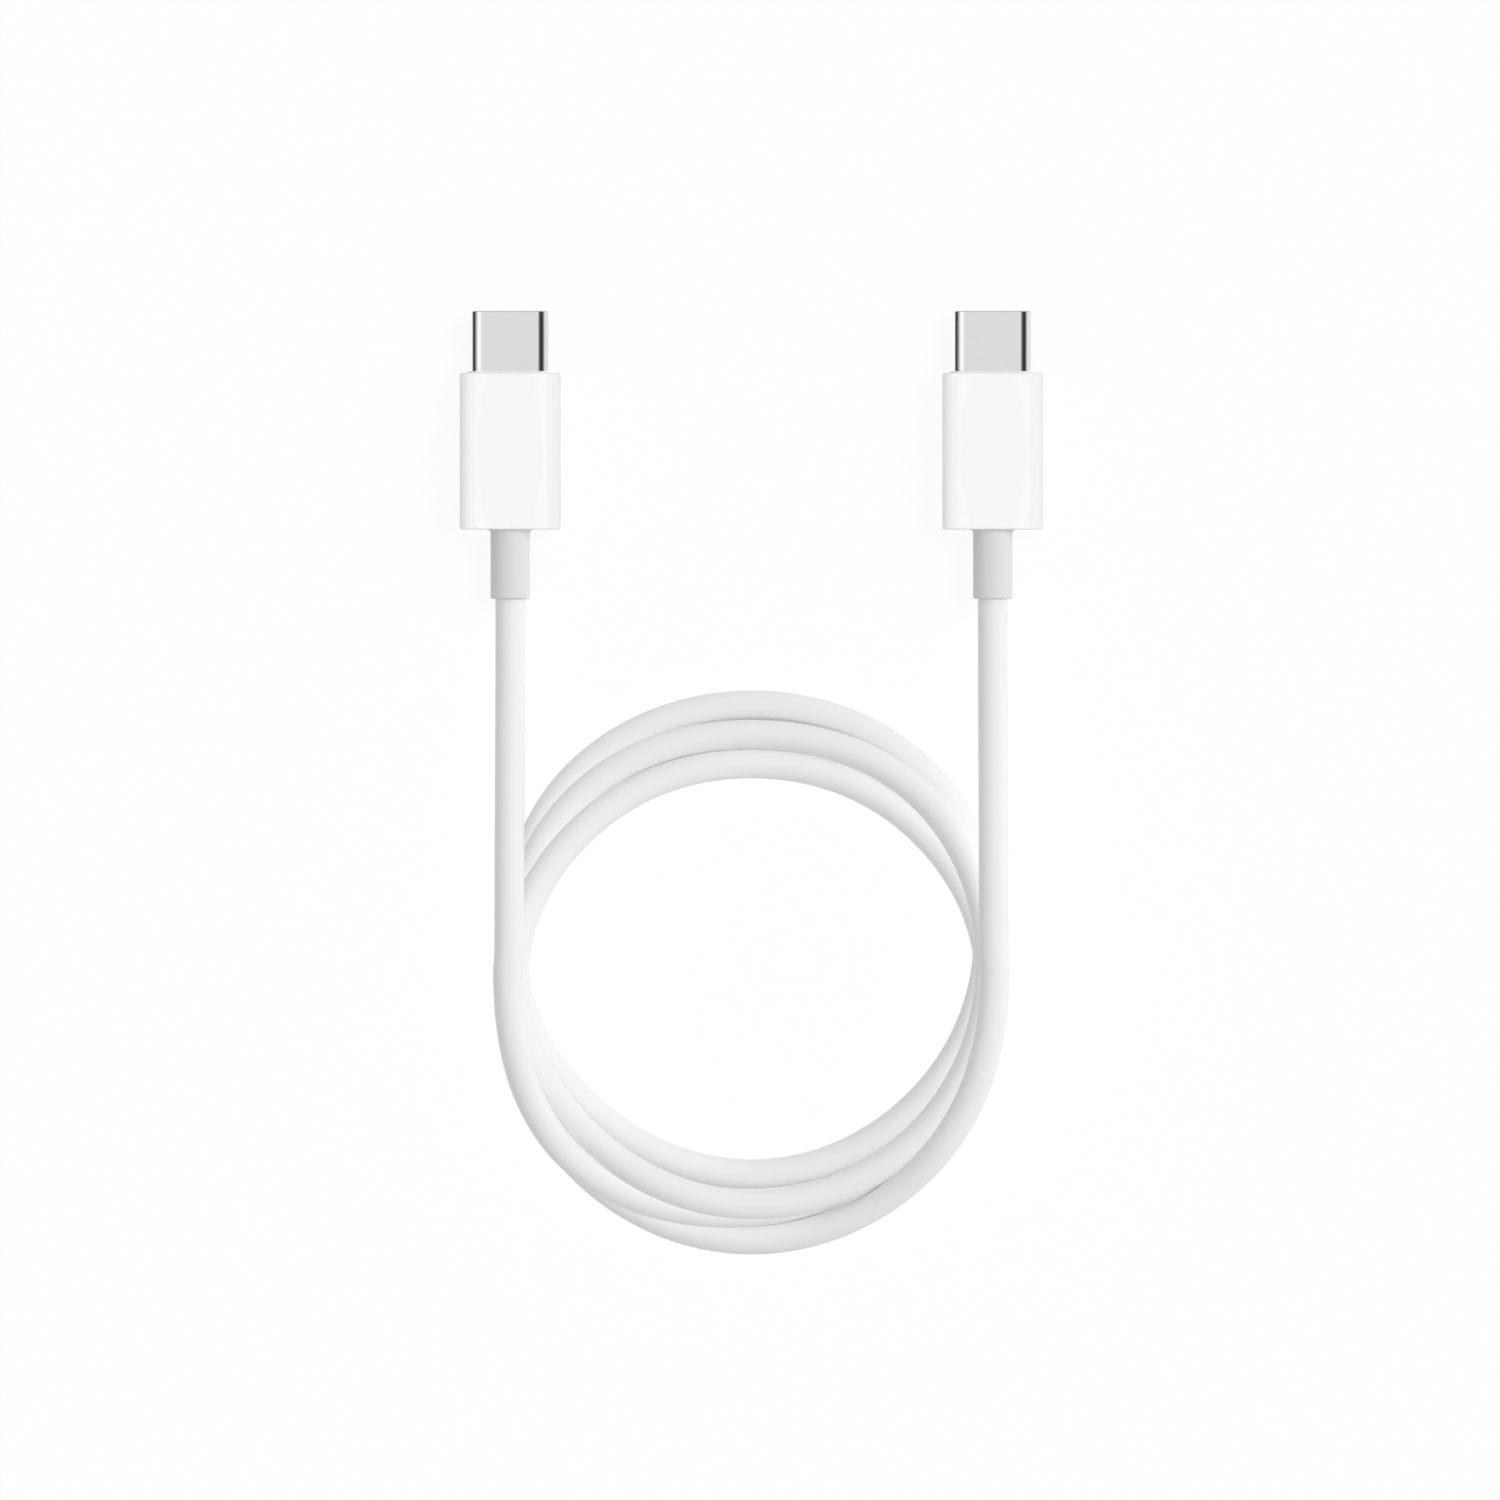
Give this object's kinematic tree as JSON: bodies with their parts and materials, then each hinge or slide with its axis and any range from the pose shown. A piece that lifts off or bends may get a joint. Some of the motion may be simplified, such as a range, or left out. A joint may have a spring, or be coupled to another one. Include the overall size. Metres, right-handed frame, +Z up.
{
  "type": "charging cable",
  "caption": "White charging cable with a flat reversible plug at each end, coiled and lying flat.",
  "frame": {"origin": "on the surface that the cable lies on, at the middle of the bounding box of its two plugs", "axes": "+X from the left plug to the right plug, +Y out of the plugs' mouths, +Z up"},
  "size_m": [0.063, 0.1022, 0.0143],
  "materials": {
    "housing_plastic": "moulded white ABS, fine satin gloss",
    "filler_plastic": "moulded white polyolefin",
    "relief_rubber": "soft white elastomer, matte",
    "cable_jacket": "extruded white elastomer, matte",
    "shell_metal": "deep-drawn stainless steel, nickel plated",
    "black_plastic": "moulded black polymer",
    "contact_gold": "stamped copper alloy, gold plated",
    "spring_steel": "stamped stainless spring strip",
    "can_metal": "folded tin-plated steel",
    "braid_wire": "tinned copper braid",
    "board_laminate": "green solder mask on glass laminate",
    "capacitor_ceramic": "fired ceramic",
    "solder": "tin solder",
    "red_wire": "extruded insulation",
    "black_wire": "extruded insulation",
    "green_wire": "extruded insulation",
    "blue_wire": "extruded insulation"
  },
  "bodies": {
    "cable": {"left_plug_shell": "shell_metal", "left_front_insulator": "black_plastic", "left_contact_tails": "contact_gold", "left_upper_carrier": "black_plastic", "left_lower_carrier": "black_plastic", "left_latch_anchors": "spring_steel", "left_upper_ground_spring": "spring_steel", "left_lower_ground_spring": "spring_steel", "left_board": "board_laminate", "left_marker_chip": "black_plastic", "left_bypass_capacitors": "capacitor_ceramic", "left_solder_joints": "solder", "left_upper_shield_can": "can_metal", "left_lower_shield_can": "can_metal", "left_crimp_ring": "can_metal", "left_braid_end": "braid_wire", "left_inner_mould": "filler_plastic", "left_housing": "housing_plastic", "left_strain_relief": "relief_rubber", "left_jacket_end": "cable_jacket", "left_vbus_wire": "red_wire", "left_ground_wire": "black_wire", "left_data_wires": "green_wire", "left_cc_wire": "blue_wire", "right_plug_shell": "shell_metal", "right_front_insulator": "black_plastic", "right_contact_tails": "contact_gold", "right_upper_carrier": "black_plastic", "right_lower_carrier": "black_plastic", "right_latch_anchors": "spring_steel", "right_upper_ground_spring": "spring_steel", "right_lower_ground_spring": "spring_steel", "right_board": "board_laminate", "right_marker_chip": "black_plastic", "right_bypass_capacitors": "capacitor_ceramic", "right_solder_joints": "solder", "right_upper_shield_can": "can_metal", "right_lower_shield_can": "can_metal", "right_crimp_ring": "can_metal", "right_braid_end": "braid_wire", "right_inner_mould": "filler_plastic", "right_housing": "housing_plastic", "right_strain_relief": "relief_rubber", "right_jacket_end": "cable_jacket", "right_vbus_wire": "red_wire", "right_ground_wire": "black_wire", "right_data_wires": "green_wire", "right_cc_wire": "blue_wire", "cable_lead_left": "cable_jacket", "cable_coil": "cable_jacket", "cable_lead_right": "cable_jacket"},
    "left_upper_contacts": {"left_upper_contacts": "contact_gold"},
    "left_lower_contacts": {"left_lower_contacts": "contact_gold"},
    "left_latch_arm_outer": {"left_latch_arm_outer": "spring_steel"},
    "left_latch_arm_inner": {"left_latch_arm_inner": "spring_steel"},
    "right_upper_contacts": {"right_upper_contacts": "contact_gold"},
    "right_lower_contacts": {"right_lower_contacts": "contact_gold"},
    "right_latch_arm_outer": {"right_latch_arm_outer": "spring_steel"},
    "right_latch_arm_inner": {"right_latch_arm_inner": "spring_steel"}
  },
  "joints": [
    {"name": "left_upper_contacts_flex", "type": "hinge", "parent": "cable", "child": "left_upper_contacts", "pos_m": [-0.02607, 0.00983, 0.00317], "axis": [1, 0, 0], "range_deg": [0, 2.5], "stiffness_Nm_per_rad": 0.2},
    {"name": "left_lower_contacts_flex", "type": "hinge", "parent": "cable", "child": "left_lower_contacts", "pos_m": [-0.02607, 0.00983, 0.00222], "axis": [1, 0, 0], "range_deg": [-2.5, 0], "stiffness_Nm_per_rad": 0.2},
    {"name": "left_latch_arm_outer_flex", "type": "hinge", "parent": "cable", "child": "left_latch_arm_outer", "pos_m": [-0.02952, 0.00983, 0.0027], "axis": [0, 0, 1], "range_deg": [0, 3.2], "stiffness_Nm_per_rad": 0.2},
    {"name": "left_latch_arm_inner_flex", "type": "hinge", "parent": "cable", "child": "left_latch_arm_inner", "pos_m": [-0.02262, 0.00983, 0.0027], "axis": [0, 0, 1], "range_deg": [-3.2, 0], "stiffness_Nm_per_rad": 0.2},
    {"name": "right_upper_contacts_flex", "type": "hinge", "parent": "cable", "child": "right_upper_contacts", "pos_m": [0.02607, 0.00983, 0.00317], "axis": [1, 0, 0], "range_deg": [0, 2.5], "stiffness_Nm_per_rad": 0.2},
    {"name": "right_lower_contacts_flex", "type": "hinge", "parent": "cable", "child": "right_lower_contacts", "pos_m": [0.02607, 0.00983, 0.00222], "axis": [1, 0, 0], "range_deg": [-2.5, 0], "stiffness_Nm_per_rad": 0.2},
    {"name": "right_latch_arm_outer_flex", "type": "hinge", "parent": "cable", "child": "right_latch_arm_outer", "pos_m": [0.02952, 0.00983, 0.0027], "axis": [0, 0, 1], "range_deg": [-3.2, 0], "stiffness_Nm_per_rad": 0.2},
    {"name": "right_latch_arm_inner_flex", "type": "hinge", "parent": "cable", "child": "right_latch_arm_inner", "pos_m": [0.02262, 0.00983, 0.0027], "axis": [0, 0, 1], "range_deg": [0, 3.2], "stiffness_Nm_per_rad": 0.2}
  ]
}
